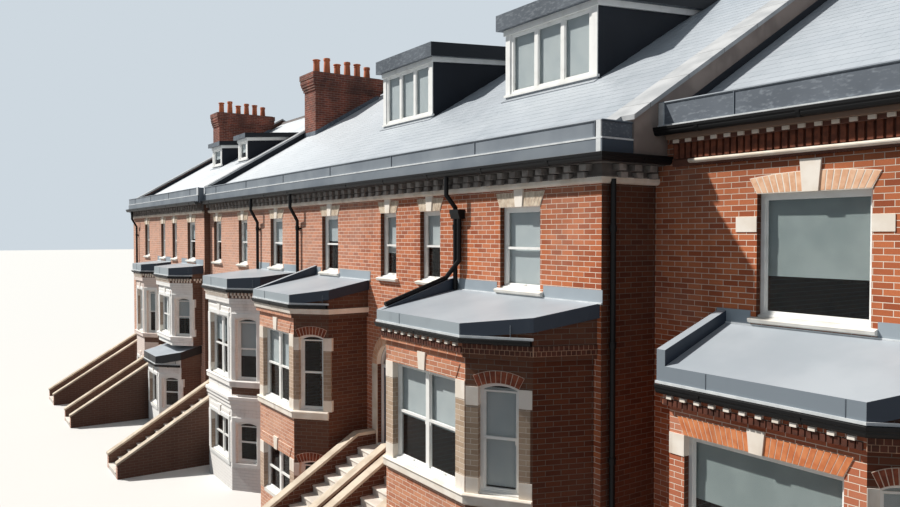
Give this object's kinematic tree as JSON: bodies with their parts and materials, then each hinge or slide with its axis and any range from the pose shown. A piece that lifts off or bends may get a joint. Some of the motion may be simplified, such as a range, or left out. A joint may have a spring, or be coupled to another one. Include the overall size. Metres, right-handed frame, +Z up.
{
  "type": "terraced house row",
  "caption": "Row of tall brick terraced houses with canted bays, front steps to raised halls, slate roofs, dormers and chimneys.",
  "frame": {"origin": "centre of the row's overall base, at ground level", "axes": "+X along the row, towards the end house that stands back; the street side faces -Y; +Z up"},
  "size_m": [39, 19.535, 14.3307],
  "materials": {
    "arch_brick": "gauged red brick",
    "black_iron": "black gloss paint",
    "brick": "fair-faced red brick in lime mortar",
    "clay": "unglazed terracotta",
    "clear_glass": "clear sheet glass",
    "door_paint": "dark gloss paint",
    "lead": "weathered sheet lead, matt",
    "navy_lead": "dark lead sheet",
    "pale_stone": "dressed pale stone",
    "slate": "riven roofing slate",
    "solid_floor": "stone-flagged solid floor",
    "timber_floor": "boarded floor with a plaster ceiling below",
    "white_joinery": "white gloss paint"
  },
  "bodies": {
    "root": {"attic_floors": "timber_floor", "bay_arches": "arch_brick", "bay_cants": "brick", "bay_floors": "timber_floor", "bay_frames": "white_joinery", "bay_friezes": "arch_brick", "bay_fronts": "brick", "bay_glass": "clear_glass", "bay_gutters": "black_iron", "bay_left_sides": "brick", "bay_returns": "brick", "bay_roofs": "lead", "bay_sill_bands": "pale_stone", "bay_sills": "pale_stone", "chimney_caps": "brick", "chimney_pots": "clay", "chimney_stacks": "brick", "cornices": "pale_stone", "door_arches": "arch_brick", "door_frames": "white_joinery", "door_leaves": "door_paint", "dormer_cheeks": "navy_lead", "dormer_fascias": "white_joinery", "dormer_frames": "white_joinery", "dormer_fronts": "lead", "dormer_glass": "clear_glass", "dormer_roofs": "navy_lead", "downpipes": "black_iron", "eaves_gutters": "black_iron", "eaves_upstands": "lead", "fanlights": "clear_glass", "fire_walls": "brick", "front_slopes": "slate", "front_walls": "brick", "hall_floors": "timber_floor", "keystones": "pale_stone", "landings": "pale_stone", "lower_floors": "solid_floor", "oversailing_wall": "brick", "parapet_copings": "pale_stone", "party_walls": "brick", "rear_frames": "white_joinery", "rear_glass": "clear_glass", "rear_sills": "pale_stone", "rear_slopes": "slate", "rear_walls": "brick", "ridge_caps": "clay", "steps_even": "pale_stone", "steps_odd": "pale_stone", "upper_floors": "timber_floor", "window_arches": "pale_stone", "window_frames": "white_joinery", "window_glass": "clear_glass", "window_sills": "pale_stone", "wing_copings": "pale_stone", "wing_walls": "brick"}
  },
  "joints": []
}
